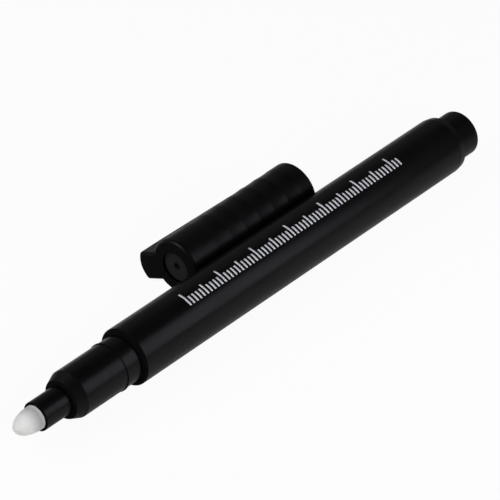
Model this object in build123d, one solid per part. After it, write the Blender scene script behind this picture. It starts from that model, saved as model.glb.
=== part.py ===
from build123d import *
import os
from math import cos, radians, sin, sqrt

# A slim marker pen lying on a table, nib towards -X, with its cap taken off and laid beside the barrel on +Y.
# Lengths are millimetres. Along the pen, x = 0 is the barrel's front face while the pieces are made.

# Barrel
barrel_od = 12.0
barrel_length = 94.8
front_chamfer_length = 0.5
front_chamfer_drop = 0.42
tail_chamfer_length = 1.6
tail_chamfer_drop = 0.26
barrel_edge_round = 0.25
tail_edge_round = 2.0

# Front section, from the barrel's face forward
front_step = 1.075
section_length = 14.6
collar_taper = 0.45
collar_drop = 0.2
spigot_length = 9.0
spigot_seat = 0.225
spigot_clearance = 0.02
bead_height = 0.18
bead_width = 0.5
bead_from_barrel = 3.8
cone_length = 2.3
shoulder_ledge = 0.97
shoulder_round = 0.15
cone_round = 0.15
tube_length = 6.83
tube_wall = 0.475
tube_rim_round = 0.25

# Nib
nib_od = 5.0
nib_straight = 0.45
nib_bullet = 4.97
nib_clearance = 0.05
nib_reach = 6.0
nib_rear_taper = 1.5

# Ink reservoir
wrap_clearance = 0.2
wrap_film = 0.12
film_clearance = 0.02
reservoir_end_gap = 0.2

# Tail plug
tail_seat = 0.25
tail_length = 5.68
tail_round = 0.8
tail_spigot = 7.0
tail_wall = 1.25
tail_end_wall = 1.4
tail_clearance = 0.02

# Cap
cap_fit = 0.075
cap_wall = 0.78
cap_end = 1.8
cap_end_round = 0.75
cap_mouth_round = 0.25
mouth_lead = 0.2
bore_step = 0.4
bore_step_room = 0.9
flute_count = 6
flute_pitch = 4.12
flute_depth = 0.08
flute_from_mouth = 5.28
snap_groove_width = 1.0
snap_groove_clearance = 0.06

# Sealing cup inside the cap
nib_room = 2.98
cup_floor = 1.2
cup_wall = 1.1
cup_fit = 0.06
cup_rim_gap = 0.6
cup_rim_chamfer = 0.4
flange_clearance = 0.03
end_hole = 6.4
end_disc_depth = 0.6
gate_mark = 1.4
gate_depth = 0.3

# Pocket clip
clip_length = 28.0
clip_width = 5.76
clip_tip_width = 4.8
clip_rise = 4.19
clip_crown_radius = 4.95
clip_thickness = 2.2
clip_root = 4.5
clip_root_round = 0.8
clip_corner_round = 0.6
clip_end_round = 0.7
clip_tip_round = 0.45 * clip_tip_width
clip_bump_length = 3.4
clip_bump_inset = 0.9
clip_bump_gap = 0.3
clip_clearance = 0.02

# Where the cap lies
cap_start = 27.55
cap_gap = 0.08
clip_roll = -23.9
clip_floor_gap = 0.03

# Radii and places that follow from the sizes above
barrel_r = barrel_od / 2
section_r = barrel_r - front_step
spigot_r = section_r - collar_drop
spigot_bore_r = spigot_r + spigot_clearance
bore_r = spigot_r - spigot_seat
nib_r = nib_od / 2
nib_bore_r = nib_r + nib_clearance
tube_r = nib_bore_r + tube_wall
shoulder_r = tube_r + shoulder_ledge
wrap_r = bore_r - wrap_clearance
wrap_bore_r = wrap_r - wrap_film
core_r = wrap_bore_r - film_clearance
tail_r = bore_r + tail_seat
tail_spigot_r = bore_r - tail_clearance
cap_bore_r = section_r + cap_fit
cap_r = cap_bore_r + cap_wall
cap_inner_r = cap_bore_r - bore_step
clip_crown = cap_r + clip_rise

cone_x = -section_length
shoulder_x = cone_x - cone_length
tube_x = shoulder_x - tube_length
nib_straight_x = tube_x - nib_straight
nib_tip_x = nib_straight_x - nib_bullet
nib_rear_x = spigot_length + nib_reach
reservoir_front_x = spigot_length + reservoir_end_gap
reservoir_rear_x = barrel_length - tail_spigot - reservoir_end_gap
cap_length = -nib_tip_x + nib_room + cup_floor + cap_end


def turned(outline, rounds=()):
    """A closed (x, radius) outline turned about the X axis, with some of its corners rounded first."""
    face = make_face(Polyline(*outline, close=True))
    for corner, radius in rounds:
        face = fillet(face.vertices().sort_by_distance((*corner, 0))[0], radius)
    return revolve(face, Axis.X)


def barrel():
    face_r = barrel_r - front_chamfer_drop
    tail_r_end = barrel_r - tail_chamfer_drop
    chamfer_end = (front_chamfer_length, barrel_r)
    tail_start = (barrel_length - tail_chamfer_length, barrel_r)
    tail_edge = (barrel_length, tail_r_end)
    outline = [
        (0, spigot_bore_r),
        (0, face_r),
        chamfer_end,
        tail_start,
        tail_edge,
        (barrel_length, bore_r),
        (spigot_length, bore_r),
        (spigot_length, spigot_bore_r),
    ]
    rounds = [
        (chamfer_end, barrel_edge_round),
        (tail_start, tail_edge_round),
        (tail_edge, barrel_edge_round),
    ]
    return turned(outline, rounds)


def nib_holder():
    """Front section, snap bead, coned shoulder and nib tube, with the spigot that sits in the barrel."""
    shoulder_edge = (shoulder_x, shoulder_r)
    cone_edge = (cone_x, section_r)
    rim = (tube_x, tube_r)
    outline = [
        (tube_x, nib_bore_r),
        rim,
        (shoulder_x, tube_r),
        shoulder_edge,
        cone_edge,
        (-collar_taper, section_r),
        (0, spigot_r),
        (spigot_length, spigot_r),
        (spigot_length, nib_bore_r),
    ]
    rounds = [(rim, tube_rim_round), (shoulder_edge, shoulder_round), (cone_edge, cone_round)]
    bead_x = -bead_from_barrel
    bead_outline = [
        (bead_x - bead_width / 2, nib_bore_r),
        (bead_x - bead_width / 2, section_r),
        (bead_x - bead_width / 4, section_r + bead_height),
        (bead_x + bead_width / 4, section_r + bead_height),
        (bead_x + bead_width / 2, section_r),
        (bead_x + bead_width / 2, nib_bore_r),
    ]
    return turned(outline, rounds) + turned(bead_outline)


def nib():
    """Fibre rod with a bullet point in front and a short taper where it enters the reservoir."""
    point = EllipticalCenterArc((nib_straight_x, 0), nib_bullet, nib_r, start_angle=90, arc_size=90)
    taper_r = nib_r / 2
    rest = Polyline(
        (nib_tip_x, 0),
        (nib_rear_x, 0),
        (nib_rear_x, taper_r),
        (nib_rear_x - nib_rear_taper, nib_r),
        (nib_straight_x, nib_r),
    )
    return revolve(make_face([point, rest]), Axis.X)


def ink_reservoir():
    """Fibre core with the socket that the rear of the nib sits in."""
    socket_x = nib_rear_x + nib_clearance
    return turned([
        (reservoir_front_x, nib_bore_r),
        (reservoir_front_x, core_r),
        (reservoir_rear_x, core_r),
        (reservoir_rear_x, 0),
        (socket_x, 0),
        (socket_x, nib_bore_r),
    ])


def reservoir_wrap():
    return turned([
        (reservoir_front_x, wrap_bore_r),
        (reservoir_front_x, wrap_r),
        (reservoir_rear_x, wrap_r),
        (reservoir_rear_x, wrap_bore_r),
    ])


def tail_plug():
    """Hollow plug: its head rests on the barrel's end and its spigot reaches in to the reservoir."""
    end_x = barrel_length + tail_length
    inner_x = barrel_length - tail_spigot
    cavity_r = tail_spigot_r - tail_wall
    cavity_x = end_x - tail_end_wall
    end_edge = (end_x, tail_r)
    outline = [
        (inner_x, cavity_r),
        (inner_x, tail_spigot_r),
        (barrel_length, tail_spigot_r),
        (barrel_length, tail_r),
        end_edge,
        (end_x, 0),
        (cavity_x, 0),
        (cavity_x, cavity_r),
    ]
    return turned(outline, [(end_edge, tail_round)])


def fluted_side():
    """The cap's outer line from near its closed end to its mouth, with its shallow ring flutes."""
    edges = []
    zone_end = cap_length - flute_from_mouth + flute_pitch / 2
    zone_start = zone_end - flute_count * flute_pitch
    edges.append(Line((0, cap_r), (zone_start, cap_r)))
    for i in range(flute_count):
        left = zone_start + i * flute_pitch
        middle = (left + flute_pitch / 2, cap_r - flute_depth)
        edges.append(ThreePointArc((left, cap_r), middle, (left + flute_pitch, cap_r)))
    edges.append(Line((zone_end, cap_r), (cap_length, cap_r)))
    return edges


def cap_shell():
    """Tube with an end wall that leaves the sealing cup's disc showing; x = 0 is its closed end."""
    hole_r = end_hole / 2
    groove_r = section_r + bead_height + snap_groove_clearance
    groove_x = cap_length - bead_from_barrel
    step_x = cap_length + shoulder_x + bore_step_room
    inside = Polyline(
        (cap_length, cap_r),
        (cap_length, cap_bore_r + mouth_lead),
        (cap_length - mouth_lead, cap_bore_r),
        (groove_x + snap_groove_width / 2, cap_bore_r),
        (groove_x + snap_groove_width / 4, groove_r),
        (groove_x - snap_groove_width / 4, groove_r),
        (groove_x - snap_groove_width / 2, cap_bore_r),
        (step_x, cap_bore_r),
        (step_x, cap_inner_r),
        (cap_end, cap_inner_r),
        (cap_end, hole_r),
        (0, hole_r),
        (0, cap_r),
    )
    face = make_face([*fluted_side(), inside])
    face = fillet(face.vertices().sort_by_distance((0, cap_r, 0))[0], cap_end_round)
    face = fillet(face.vertices().sort_by_distance((cap_length, cap_r, 0))[0], cap_mouth_round)
    return revolve(face, Axis.X)


def inner_cap():
    """Sealing cup: end disc set back in the cap's end hole, flange behind the end wall, cup over the nib tube."""
    disc_r = end_hole / 2 - flange_clearance
    flange_r = cap_inner_r - flange_clearance
    cup_r = tube_r + cup_fit
    cup_outer_r = cup_r + cup_wall
    floor_x = cap_end + cup_floor
    rim_x = cap_length + shoulder_x - cup_rim_gap
    gate_r = gate_mark / 2
    return turned([
        (end_disc_depth + gate_depth, 0),
        (end_disc_depth + gate_depth, gate_r),
        (end_disc_depth, gate_r),
        (end_disc_depth, disc_r),
        (cap_end, disc_r),
        (cap_end, flange_r),
        (floor_x, flange_r),
        (floor_x, cup_outer_r),
        (rim_x, cup_outer_r),
        (rim_x, cup_r + cup_rim_chamfer),
        (rim_x - cup_rim_chamfer, cup_r),
        (floor_x, cup_r),
        (floor_x, 0),
    ])


def clip_section(width):
    """The clip seen from the closed end of the cap: straight sides and a crowned, round-cornered outer face."""
    half = width / 2
    crown_centre = clip_crown - clip_crown_radius
    shoulder = crown_centre + sqrt(clip_crown_radius ** 2 - half ** 2)
    crown = ThreePointArc((shoulder, -half), (clip_crown, 0), (shoulder, half))
    sides = Polyline((shoulder, half), (0, half), (0, -half), (shoulder, -half))
    face = make_face([crown, sides])
    for side in (-half, half):
        corner = face.vertices().sort_by_distance((shoulder, side, 0))[0]
        face = fillet(corner, clip_corner_round)
    return Plane.YZ * face


def clip_gap_space():
    """The space under the clip's arm, behind its root and round the bump near its tip."""
    arm = clip_crown - clip_thickness
    bump = cap_r + clip_bump_gap
    bump_end = clip_length - clip_bump_inset
    bump_start = bump_end - clip_bump_length
    bump_top = (bump_start + clip_bump_length / 2, bump)
    lower = Polyline(
        (bump_start, arm),
        (clip_root, arm),
        (clip_root, 0),
        (clip_length, 0),
        (clip_length, arm),
        (bump_end, arm),
    )
    bulge = ThreePointArc((bump_end, arm), bump_top, (bump_start, arm))
    face = make_face([lower, bulge])
    face = fillet(face.vertices().sort_by_distance((clip_root, arm, 0))[0], clip_root_round)
    return extrude(face, clip_width, both=True)


def clip_tip_space():
    """The space that the clip keeps to, seen square on: wider than its root, with round corners at its tip."""
    tip = clip_tip_width / 2
    face = make_face(
        Polyline((0, clip_width), (clip_length, tip), (clip_length, -tip), (0, -clip_width), close=True)
    )
    for side in (-tip, tip):
        face = fillet(face.vertices().sort_by_distance((clip_length, side, 0))[0], clip_tip_round)
    return extrude(Plane.XZ * face, 2 * clip_crown, both=True)


def pocket_clip():
    """Clip arm with its root, a little narrower at its tip; x = 0 is level with the cap's closed end."""
    root = extrude(clip_section(clip_width), clip_root)
    end_edges = root.faces().sort_by(Axis.X)[0].edges().sort_by(Axis.Y)[1:]
    root = fillet(end_edges, clip_end_round)
    arm_start = Pos(clip_root, 0, 0) * clip_section(clip_width)
    arm_end = Pos(clip_length, 0, 0) * clip_section(clip_tip_width)
    bar = root + loft([arm_start, arm_end], ruled=True)
    seat = turned(
        [
            (-clip_clearance, 0),
            (-clip_clearance, cap_r + clip_clearance),
            (clip_length, cap_r + clip_clearance),
            (clip_length, 0),
        ],
        [((-clip_clearance, cap_r + clip_clearance), cap_end_round + clip_clearance)],
    )
    return Rot(X=clip_roll) * ((bar & clip_tip_space()) - clip_gap_space() - seat)


def clip_drop():
    """How far the clip's lower corner reaches below the cap's axis once the cap is rolled over on it."""
    corner_b = clip_width / 2 - clip_corner_round
    reach = clip_crown_radius - clip_corner_round
    corner_a = clip_crown - clip_crown_radius + sqrt(reach ** 2 - corner_b ** 2)
    roll = radians(clip_roll)
    return corner_b * cos(roll) - corner_a * sin(roll) + clip_corner_round


cap_z = clip_drop() + clip_floor_gap
cap_y = sqrt((barrel_r + cap_r + cap_gap) ** 2 - (cap_z - barrel_r) ** 2)
on_pen = Pos(0, 0, barrel_r)
beside_pen = Pos(cap_start, cap_y, cap_z)

parts = {
    "barrel": on_pen * barrel(),
    "nib_holder": on_pen * nib_holder(),
    "nib": on_pen * nib(),
    "ink_reservoir": on_pen * ink_reservoir(),
    "reservoir_wrap": on_pen * reservoir_wrap(),
    "tail_plug": on_pen * tail_plug(),
    "cap_shell": beside_pen * cap_shell(),
    "inner_cap": beside_pen * inner_cap(),
    "pocket_clip": beside_pen * pocket_clip(),
}

# The origin is the middle of the whole footprint, on the table
clip_box = parts["pocket_clip"].bounding_box()
middle_x = (nib_tip_x + barrel_length + tail_length) / 2
middle_y = (clip_box.max.Y - barrel_r) / 2
to_origin = Pos(-middle_x, -middle_y, 0)

os.makedirs("parts", exist_ok=True)
for name, solid in parts.items():
    export_step(to_origin * solid, f"parts/{name}.step")

print(f"pen axis: y {-middle_y:.4f}, z {barrel_r:.4f}; barrel face: x {-middle_x:.4f}")
print(f"cap axis: y {cap_y - middle_y:.4f}, z {cap_z:.4f}; closed end: x {cap_start - middle_x:.4f}")
print(f"cap length {cap_length:.4f}, nib tip x {nib_tip_x - middle_x:.4f}")
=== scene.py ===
import math

import bmesh
import bpy
from mathutils import Matrix, Vector, noise


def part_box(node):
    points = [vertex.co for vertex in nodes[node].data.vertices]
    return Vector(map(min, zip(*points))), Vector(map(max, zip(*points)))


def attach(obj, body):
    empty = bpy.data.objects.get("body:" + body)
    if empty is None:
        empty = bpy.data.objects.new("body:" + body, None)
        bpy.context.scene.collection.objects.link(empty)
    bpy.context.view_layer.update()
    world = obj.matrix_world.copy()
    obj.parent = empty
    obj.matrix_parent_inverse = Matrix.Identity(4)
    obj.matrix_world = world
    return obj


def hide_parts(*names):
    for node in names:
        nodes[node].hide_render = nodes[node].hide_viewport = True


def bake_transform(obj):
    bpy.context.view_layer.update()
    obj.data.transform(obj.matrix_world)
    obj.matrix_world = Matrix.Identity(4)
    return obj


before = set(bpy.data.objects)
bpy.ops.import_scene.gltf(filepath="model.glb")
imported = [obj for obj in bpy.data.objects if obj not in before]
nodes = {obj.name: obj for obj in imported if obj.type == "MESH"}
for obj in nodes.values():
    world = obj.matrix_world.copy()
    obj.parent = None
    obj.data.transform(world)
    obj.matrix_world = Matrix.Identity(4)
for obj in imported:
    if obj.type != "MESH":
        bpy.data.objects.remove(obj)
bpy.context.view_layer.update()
mm = 0.001
print("frame loaded,", len(nodes), "nodes")


def middle(node):
    low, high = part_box(node)
    return (low + high) / 2


barrelLow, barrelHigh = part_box("barrel")
barrelFront = barrelLow.x
barrelRadius = (barrelHigh.z - barrelLow.z) / 2
penLine = middle("barrel")                    # a point on the pen's centre line
capLine = middle("cap_shell")                 # and one on the cap's
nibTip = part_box("nib")[0].x
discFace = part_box("inner_cap")[0].x           # the disc that shows in the cap's closed end


# node helpers

noiseSpan = (0.3, 0.7)                        # nearly all values of a noise texture lie in here


def startMaterial(name):
    mat = bpy.data.materials.new(name)
    mat.use_nodes = True
    return mat, mat.node_tree, mat.node_tree.nodes["Principled BSDF"]


def feed(tree, socket, value):                # an output is linked, anything else is set as a value
    if isinstance(value, bpy.types.NodeSocket):
        tree.links.new(value, socket)
    else:
        socket.default_value = value


def setInputs(tree, node, **inputs):
    for key, value in inputs.items():
        feed(tree, node.inputs[key.replace("_", " ")], value)
    return node


def addNode(tree, kind, **inputs):
    return setInputs(tree, tree.nodes.new(kind), **inputs)


def mathNode(tree, operation, *values):
    node = tree.nodes.new("ShaderNodeMath")
    node.operation = operation
    for socket, value in zip(node.inputs, values):
        feed(tree, socket, value)
    return node.outputs[0]


def mixNode(tree, kind, how, factor, first, second):
    node = tree.nodes.new("ShaderNodeMix")
    node.data_type = kind
    node.blend_type = how
    setInputs(tree, node, Factor=factor, A=first, B=second)
    return node.outputs["Result"]


def placed(tree, stretch=(1, 1, 1)):
    coords = tree.nodes.new("ShaderNodeTexCoord")
    mapping = addNode(tree, "ShaderNodeMapping", Vector=coords.outputs["Object"], Scale=stretch)
    return mapping.outputs["Vector"]


def grain(tree, scale, detail, roughness, stretch=(1, 1, 1)):
    tex = addNode(tree, "ShaderNodeTexNoise", Vector=placed(tree, stretch), Scale=scale,
                  Detail=detail, Roughness=roughness)
    return tex.outputs["Fac"]


def ramp(tree, fac, low, high, start, end):
    node = addNode(tree, "ShaderNodeValToRGB", Fac=fac)
    node.color_ramp.elements[0].position = start
    node.color_ramp.elements[0].color = (*low, 1)
    node.color_ramp.elements[1].position = end
    node.color_ramp.elements[1].color = (*high, 1)
    return node.outputs["Color"]


def bands(tree, fac, stops):                  # greys at any number of places
    node = addNode(tree, "ShaderNodeValToRGB", Fac=fac)
    marks = node.color_ramp.elements
    while len(marks) < len(stops):
        marks.new(1.0)
    for mark, (place, level) in zip(marks, stops):
        mark.position = place
        mark.color = (level, level, level, 1)
    return node.outputs["Color"]


def spread(tree, fac, low, high):
    node = addNode(tree, "ShaderNodeMapRange", Value=fac, From_Min=noiseSpan[0], From_Max=noiseSpan[1],
                   To_Min=low, To_Max=high)
    return node.outputs["Result"]


def bump(tree, heights):
    normal = None
    for fac, strength, depth in heights:
        node = addNode(tree, "ShaderNodeBump", Height=fac, Strength=strength, Distance=depth)
        if normal is not None:
            tree.links.new(normal, node.inputs["Normal"])
        normal = node.outputs["Normal"]
    return normal


# moulded plastics: soft clouds in the tone, drawn scuffs and a fine peel in the gloss

mould = dict(cloud=(3.0, 0.55), scuff=(4.0, 0.65), peel=(2.0, 0.5), toneSpan=(0.35, 0.75),
             scuffShare=0.6, cloudShare=0.4, peelDepth=0.02, scuffDepth=0.01)
barrelLook = dict(dark=(0.0008, 0.0008, 0.0009), pale=(0.0016, 0.0016, 0.0017), roughness=(0.24, 0.34),
                  cloudScale=60, scuffScale=900, scuffStretch=(0.12, 1, 1), peelScale=1800,
                  peelBump=0.12, scuffBump=0.05, specular=0.14, endRoughness=1.0, endSlope=(0.3, 0.6))
sectionLook = dict(barrelLook, roughness=(0.24, 0.33), scuffStretch=(1, 0.2, 0.2))
tailLook = dict(barrelLook, roughness=(0.28, 0.38))
capLook = dict(barrelLook, roughness=(0.31, 0.42), scuffStretch=(0.2, 1, 1), endSlope=(0.85, 0.98))
# painted shade: the disc's mark colour, with its size, blur and place, darkens the gate's pit in the cap's
# end
sealLook = dict(barrelLook, dark=(0.017, 0.017, 0.0175), pale=(0.027, 0.027, 0.028),
                roughness=(0.42, 0.55), peelBump=0.2, mark=(0.0008, 0.0008, 0.0008), pitShadeSize=0.62,
                pitShadeBlur=1.4, pitShadePlace=(discFace, capLine.y, capLine.z))
filmLook = dict(barrelLook, dark=(0.62, 0.62, 0.62), pale=(0.72, 0.72, 0.72), roughness=(0.12, 0.22),
                specular=0.5)


def matteEnds(tree, sides, look):             # faces square to the pen's line come duller out of the mould
    coords = tree.nodes.new("ShaderNodeTexCoord")
    split = addNode(tree, "ShaderNodeSeparateXYZ", Vector=coords.outputs["Normal"])
    slope = mathNode(tree, "ABSOLUTE", split.outputs["X"])
    low, high = look["endSlope"]
    square = addNode(tree, "ShaderNodeMapRange", Value=slope, From_Min=low, From_Max=high)
    return mixNode(tree, "FLOAT", "MIX", square.outputs["Result"], sides, look["endRoughness"])


def gatePitShade(tree, tone, look):               # painted shade: the disc's colour is darkened to near black over the gate's pit at its centre, with a soft edge
    away = tree.nodes.new("ShaderNodeVectorMath")
    away.operation = "DISTANCE"
    away.inputs[1].default_value = look["pitShadePlace"]
    tree.links.new(placed(tree), away.inputs[0])
    size = look["pitShadeSize"] * mm
    reach = addNode(tree, "ShaderNodeMapRange", Value=away.outputs["Value"], From_Min=size,
                    From_Max=size * look["pitShadeBlur"])
    return mixNode(tree, "RGBA", "MIX", reach.outputs["Result"], (*look["mark"], 1), tone)


def mouldedPlastic(name, look):
    mat, tree, shader = startMaterial(name)
    cloud = grain(tree, look["cloudScale"], *mould["cloud"])
    scuff = grain(tree, look["scuffScale"], *mould["scuff"], look["scuffStretch"])
    peel = grain(tree, look["peelScale"], *mould["peel"])
    tone = ramp(tree, cloud, look["dark"], look["pale"], *mould["toneSpan"])
    # painted shade in the gate's pit
    if "pitShadeSize" in look:
        tone = gatePitShade(tree, tone, look)
    clouded = mathNode(tree, "MULTIPLY", cloud, mould["cloudShare"])
    worn = mathNode(tree, "MULTIPLY_ADD", scuff, mould["scuffShare"], clouded)
    sides = spread(tree, worn, *look["roughness"])
    heights = [(peel, look["peelBump"], mould["peelDepth"] * mm),
               (scuff, look["scuffBump"], mould["scuffDepth"] * mm)]
    setInputs(tree, shader, Base_Color=tone, Roughness=matteEnds(tree, sides, look),
              Normal=bump(tree, heights), Specular_IOR_Level=look["specular"])
    return mat


# pressed fibre: strands along the pen, pores between them

felt = dict(strands=(5.0, 0.6), pores=(3.0, 0.55), roughness=(0.72, 0.92), strandDepth=0.05, poreDepth=0.04,
            specular=0.3, fuzzRoughness=0.4)
# painted shade: the reach and stops below darken the nib's colour towards the tube, where its rim shades
# the fibre
nibLook = dict(dark=(0.68, 0.682, 0.672), pale=(0.78, 0.782, 0.770), tubeShadeReach=6.0,
               tubeShade=((1.0, 0.98), (2.2, 0.92), (3.6, 0.61), (4.4, 0.45), (4.8, 0.47), (5.4, 0.77)),
               strandScale=5200, strandStretch=0.08, poreScale=5200, strandBump=0.2, poreBump=0.2, fuzz=1.0)
inkLook = dict(dark=(0.66, 0.66, 0.68), pale=(0.82, 0.82, 0.84), strandScale=3200, strandStretch=0.03,
               poreScale=2600, strandBump=0.5, poreBump=0.3, fuzz=0.2)


def paintedTubeShade(tree, tone, look):               # painted shade: the fibre's colour is darkened towards the tube, where the tube's rim shades it, and eased off again right at the rim
    split = addNode(tree, "ShaderNodeSeparateXYZ", Vector=placed(tree))
    back = addNode(tree, "ShaderNodeMapRange", Value=split.outputs["X"], From_Min=nibTip,
                   From_Max=nibTip + look["tubeShadeReach"] * mm)
    stops = [(place / look["tubeShadeReach"], level) for place, level in look["tubeShade"]]
    return mixNode(tree, "RGBA", "MULTIPLY", 1.0, tone, bands(tree, back.outputs["Result"], stops))


def nibFibre(name, look):
    mat, tree, shader = startMaterial(name)
    strands = grain(tree, look["strandScale"], *felt["strands"], (look["strandStretch"], 1, 1))
    pores = grain(tree, look["poreScale"], *felt["pores"])
    tone = ramp(tree, strands, look["dark"], look["pale"], *noiseSpan)
    # painted shade from the tube's rim
    if "tubeShade" in look:
        tone = paintedTubeShade(tree, tone, look)
    heights = [(strands, look["strandBump"], felt["strandDepth"] * mm),
               (pores, look["poreBump"], felt["poreDepth"] * mm)]
    setInputs(tree, shader, Base_Color=tone, Roughness=spread(tree, pores, *felt["roughness"]),
              Normal=bump(tree, heights), Specular_IOR_Level=felt["specular"],
              Sheen_Weight=look["fuzz"], Sheen_Roughness=felt["fuzzRoughness"])
    return mat


def coat(node, mat):
    nodes[node].material_slots[0].material = mat


capPlastic = mouldedPlastic("capPlastic", capLook)
coat("barrel", mouldedPlastic("barrelPlastic", barrelLook))
coat("nib_holder", mouldedPlastic("sectionPlastic", sectionLook))
coat("tail_plug", mouldedPlastic("tailPlastic", tailLook))
coat("cap_shell", capPlastic)
coat("inner_cap", mouldedPlastic("sealPlastic", sealLook))
coat("reservoir_wrap", mouldedPlastic("wrapFilm", filmLook))
print("materials on the nodes")


def settle(bm, name, mat, body):
    bmesh.ops.recalc_face_normals(bm, faces=bm.faces)
    mesh = bpy.data.meshes.new(name)
    bm.to_mesh(mesh)
    bm.free()
    mesh.polygons.foreach_set("use_smooth", [True] * len(mesh.polygons))
    mesh.materials.append(mat)
    piece = bpy.data.objects.new(name, mesh)
    bpy.context.scene.collection.objects.link(piece)
    if body:
        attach(piece, body)
    return piece


def outward(co):                              # from the pen's line straight out to a point
    return Vector((0, co.y - penLine.y, co.z - penLine.z))


# fibre nib: half a drawn-out ball in front, the rod behind it, fine strands along it

nibShape = dict(bullet=4.97, rimSteps=(0.12, 0.12, 0.12, 0.12, 0.12, 0.3, 0.8), rearTaper=1.5,
                rearShrink=0.5, around=144, rings=72, strandDepth=0.018, strandSize=0.34, strandDraw=0.12,
                strandShare=0.35, poreSize=0.8, poreShare=0.15, plainTip=0.05)


def extrudeRim(bm, rim, shift, grow=1.0):
    made = bmesh.ops.extrude_edge_only(bm, edges=rim)["geom"]
    verts = [g for g in made if isinstance(g, bmesh.types.BMVert)]
    bmesh.ops.translate(bm, vec=shift, verts=verts)
    if grow != 1.0:
        centre = sum((v.co for v in verts), Vector()) / len(verts)
        bmesh.ops.scale(bm, vec=(1, grow, grow), space=Matrix.Translation(-centre), verts=verts)
    return [g for g in made if isinstance(g, bmesh.types.BMEdge)]


def fibreNib():
    low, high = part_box("nib")
    radius = (high.z - low.z) / 2
    bullet = nibShape["bullet"] * mm
    taper = nibShape["rearTaper"] * mm
    seat = Vector((low.x + bullet, penLine.y, penLine.z))
    bm = bmesh.new()
    ball = bmesh.ops.create_uvsphere(bm, u_segments=nibShape["around"], v_segments=nibShape["rings"],
                                     radius=1)
    turn = Matrix.Rotation(math.pi / 2, 4, "Y")         # brings the ball's poles onto the pen's line
    place = Matrix.Translation(seat) @ Matrix.Diagonal((bullet, radius, radius, 1)) @ turn
    bmesh.ops.transform(bm, matrix=place, verts=ball["verts"])
    bmesh.ops.bisect_plane(bm, geom=bm.verts[:] + bm.edges[:] + bm.faces[:], plane_co=seat,
                           plane_no=(1, 0, 0), dist=1e-7, clear_outer=True)
    rim = [e for e in bm.edges if e.is_boundary]
    for step in nibShape["rimSteps"]:
        rim = extrudeRim(bm, rim, Vector((step * mm, 0, 0)))
    reached = max(v.co.x for v in bm.verts)
    rim = extrudeRim(bm, rim, Vector((high.x - taper - reached, 0, 0)))
    rim = extrudeRim(bm, rim, Vector((taper, 0, 0)), nibShape["rearShrink"])
    bmesh.ops.edgeloop_fill(bm, edges=rim)
    size = nibShape["strandSize"] * mm
    for v in bm.verts:
        out = outward(v.co)
        if out.length < nibShape["plainTip"] * mm:
            continue
        strand = noise.noise(Vector((v.co.x * nibShape["strandDraw"], v.co.y, v.co.z)) / size)
        pore = noise.noise(v.co / (size * nibShape["poreSize"]))
        sunk = 0.5 + nibShape["strandShare"] * strand + nibShape["poreShare"] * pore
        v.co -= out.normalized() * nibShape["strandDepth"] * mm * sunk
    nib = settle(bm, "fibreNib", nibFibre("nibFibre", nibLook), "pen")
    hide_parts("nib")


fibreNib()
print("nib made")


# ink core: a bundle of crimped fibre with soft edges and the socket for the nib

coreShape = dict(socket=2.55, socketDepth=5.85, edge=0.5, ripple=0.05, rippleSize=1.1, skin=0.01,
                 around=96, steps=60)


def inkCore():
    low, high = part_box("ink_reservoir")
    radius = (high.z - low.z) / 2
    socket = coreShape["socket"] * mm
    bottom = low.x + coreShape["socketDepth"] * mm
    edge = coreShape["edge"] * mm
    bm = bmesh.new()
    line = [(bottom, 0), (bottom, socket), (low.x, socket), (low.x, radius - edge),
            (low.x + edge, radius), (high.x - edge, radius), (high.x, radius - edge), (high.x, 0)]
    verts = [bm.verts.new((x, penLine.y, penLine.z + r)) for x, r in line]
    edges = [bm.edges.new(pair) for pair in zip(verts, verts[1:])]
    longSide = edges[4]
    bmesh.ops.subdivide_edges(bm, edges=[longSide], cuts=coreShape["steps"])
    bmesh.ops.spin(bm, geom=bm.verts[:] + bm.edges[:], cent=penLine, axis=(1, 0, 0), angle=2 * math.pi,
                   steps=coreShape["around"], use_merge=True)
    bmesh.ops.remove_doubles(bm, verts=bm.verts, dist=1e-6)
    for v in bm.verts:
        out = outward(v.co)
        if out.length > radius - coreShape["skin"] * mm:
            crimp = 0.5 + 0.5 * noise.noise(v.co / (coreShape["rippleSize"] * mm))
            v.co -= out.normalized() * coreShape["ripple"] * mm * crimp
    core = settle(bm, "inkCore", nibFibre("inkFibre", inkLook), "pen")
    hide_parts("ink_reservoir")


inkCore()
print("ink core made")


# pocket clip: the clip's mesh welded, cut across at even steps along its length and smooth-shaded

clipShape = dict(bendFrom=1.5, bendTo=11.0, cuts=1.0, cutTo=26.0, weld=0.002, sharp=40)


def bendingClip():
    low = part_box("pocket_clip")[0]
    bm = bmesh.new()
    bm.from_mesh(nodes["pocket_clip"].data)
    bmesh.ops.remove_doubles(bm, verts=bm.verts, dist=clipShape["weld"] * mm)
    cut = clipShape["bendFrom"]
    while cut < clipShape["cutTo"]:
        bmesh.ops.bisect_plane(bm, geom=bm.verts[:] + bm.edges[:] + bm.faces[:],
                               plane_co=(low.x + cut * mm, 0, 0), plane_no=(1, 0, 0), dist=1e-7)
        cut += clipShape["cuts"]
    for e in bm.edges:
        e.smooth = e.is_manifold and e.calc_face_angle(0) < math.radians(clipShape["sharp"])
    clip = settle(bm, "bendingClip", capPlastic, None)
    even = clip.modifiers.new("even", "WEIGHTED_NORMAL")
    even.keep_sharp = True
    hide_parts("pocket_clip")
    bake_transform(clip)


bendingClip()
print("clip made")


# graduations printed along the barrel, one each millimetre

scale = dict(first=15.7, count=63, pitch=1.0, width=0.44, short=1.9, mid=2.6, tall=3.4, foot=121.0,
             film=0.012, facets=4)
scaleLook = dict(dark=(0.46, 0.47, 0.50), pale=(0.56, 0.57, 0.60), toneSpan=(0.35, 0.65), flakeScale=5200,
                 flakes=(2.0, 0.6), flakeBump=0.1, flakeDepth=0.01, roughness=(0.45, 0.6), specular=0.3)


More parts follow.
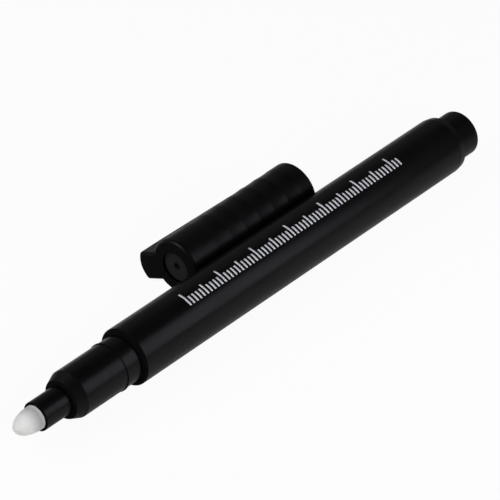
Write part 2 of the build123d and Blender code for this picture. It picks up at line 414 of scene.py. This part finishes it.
def printInk(name, look):
    mat, tree, shader = startMaterial(name)
    flakes = grain(tree, look["flakeScale"], *look["flakes"])
    tone = ramp(tree, flakes, look["dark"], look["pale"], *look["toneSpan"])
    heights = [(flakes, look["flakeBump"], look["flakeDepth"] * mm)]
    setInputs(tree, shader, Base_Color=tone, Roughness=spread(tree, flakes, *look["roughness"]),
              Normal=bump(tree, heights), Specular_IOR_Level=look["specular"])
    return mat


def printScale():
    bm = bmesh.new()
    foot = math.radians(scale["foot"])
    footY = penLine.y + barrelRadius * math.cos(foot)
    footZ = penLine.z + barrelRadius * math.sin(foot)
    for i in range(scale["count"]):
        height = scale["tall"] if i % 10 == 0 else scale["mid"] if i % 5 == 0 else scale["short"]
        left = barrelFront + (scale["first"] + i * scale["pitch"] - scale["width"] / 2) * mm
        start = Vector((left, footY, footZ))
        a = bm.verts.new(start)
        b = bm.verts.new(start + Vector((scale["width"] * mm, 0, 0)))
        edge = bm.edges.new((a, b))
        steps = max(scale["facets"], int(height * scale["facets"]))
        bmesh.ops.spin(bm, geom=[a, b, edge], cent=penLine, axis=(1, 0, 0),
                       angle=-height * mm / barrelRadius, steps=steps, use_merge=False)
    bmesh.ops.recalc_face_normals(bm, faces=bm.faces)
    out = sum((f.normal.dot(f.calc_center_median() - penLine) for f in bm.faces), 0.0)
    if out < 0:
        bmesh.ops.reverse_faces(bm, faces=bm.faces)
    bmesh.ops.solidify(bm, geom=bm.faces[:], thickness=-scale["film"] * mm)
    settle(bm, "printScale", printInk("printInk", scaleLook), "pen")


printScale()
print("graduations printed")


# floor and room

studio = dict(floorSize=1.5, floorShift=(-0.5, -0.5, 0), floor=(0.72, 0.722, 0.685), floorShade=0.985,
              floorGrain=(3.0, 2.0, 0.5), floorRoughness=0.9,
              shares={"Is Camera Ray": 0.94, "Is Transmission Ray": 0.94, "Is Glossy Ray": 0.05},
              sky=((0.02, 0.12), (0.24, 0.09), (0.48, 0.18), (0.62, 0.16), (0.80, 0.03)))


def whiteShare(tree):
    rays = tree.nodes.new("ShaderNodeLightPath")
    total = 0.0
    for kind, share in studio["shares"].items():
        total = mathNode(tree, "MULTIPLY_ADD", rays.outputs[kind], share, total)
    return total


def layFloor():
    bm = bmesh.new()
    bmesh.ops.create_grid(bm, x_segments=1, y_segments=1, size=studio["floorSize"] / 2)
    bmesh.ops.translate(bm, vec=studio["floorShift"], verts=bm.verts)
    mat, tree, shader = startMaterial("paleFloor")
    low = [c * studio["floorShade"] for c in studio["floor"]]
    tone = ramp(tree, grain(tree, *studio["floorGrain"]), low, studio["floor"], *noiseSpan)
    setInputs(tree, shader, Base_Color=tone, Roughness=studio["floorRoughness"], Specular_IOR_Level=0.0)
    white = addNode(tree, "ShaderNodeEmission", Strength=1.0)
    mix = tree.nodes.new("ShaderNodeMixShader")
    tree.links.new(whiteShare(tree), mix.inputs[0])
    tree.links.new(shader.outputs[0], mix.inputs[1])
    tree.links.new(white.outputs[0], mix.inputs[2])
    tree.links.new(mix.outputs[0], tree.nodes["Material Output"].inputs["Surface"])
    floor = settle(bm, "floor", mat, None)


def lightWorld():
    world = bpy.data.worlds.new("studioRoom")
    bpy.context.scene.world = world
    world.use_nodes = True
    tree = world.node_tree
    coords = tree.nodes.new("ShaderNodeTexCoord")
    split = addNode(tree, "ShaderNodeSeparateXYZ", Vector=coords.outputs["Generated"])
    sky = bands(tree, split.outputs["Z"], studio["sky"])
    tone = mixNode(tree, "RGBA", "MIX", whiteShare(tree), sky, (1, 1, 1, 1))
    setInputs(tree, tree.nodes["Background"], Color=tone)


layFloor()
lightWorld()
print("floor and room set")


# lamps: two wide ones for the plain level, two small ones that show in the gloss

lamps = dict(
    keyPanel=dict(place=(-0.30, -1.10, 0.60), aim=(0, 0, 0), size=(0.9, 0.7), watts=9.4, glossy=False),
    sidePanel=dict(place=(0.052, -0.118, 0.071), aim=(-0.052, -0.008, 0.006), size=(0.10, 0.10),
                   watts=0.054, tint=(1, 0.98, 1.13)),
    topFill=dict(place=(-0.1, -0.2, 1.2), aim=(-0.1, -0.2, 0), size=(3.0, 3.0), watts=9.0, glossy=False),
    backFill=dict(place=(-0.16, 0.10, 0.15), aim=(-0.06, 0.01, 0), size=(0.12, 0.12), watts=0.22))


def stand(name, data, place, along):
    holder = bpy.data.objects.new(name, data)
    holder.location = place
    holder.rotation_mode = "QUATERNION"
    holder.rotation_quaternion = Vector(along).to_track_quat("-Z", "Y")
    bpy.context.scene.collection.objects.link(holder)
    return holder


def addLamp(name, place, aim, size, watts, glossy=True, tint=(1, 1, 1)):
    lamp = bpy.data.lights.new(name, "AREA")
    lamp.shape = "RECTANGLE"
    lamp.size, lamp.size_y = size
    lamp.energy = watts
    lamp.color = tint
    holder = stand(name, lamp, place, Vector(aim) - Vector(place))
    holder.visible_glossy = glossy


for name, lamp in lamps.items():
    addLamp(name, **lamp)
print(len(lamps), "lamps set")


view = dict(place=(-0.482865, -0.43180, 0.47460), along=(0.60980, 0.53529, -0.58452), lens=298.1, sensor=36,
            near=0.01, far=50)
camera = bpy.data.cameras.new("camera")
camera.lens = view["lens"]
camera.sensor_width = view["sensor"]
camera.clip_start = view["near"]
camera.clip_end = view["far"]
bpy.context.scene.camera = stand("camera", camera, view["place"], view["along"])
bpy.context.scene.view_settings.view_transform = "Standard"
print("camera set")
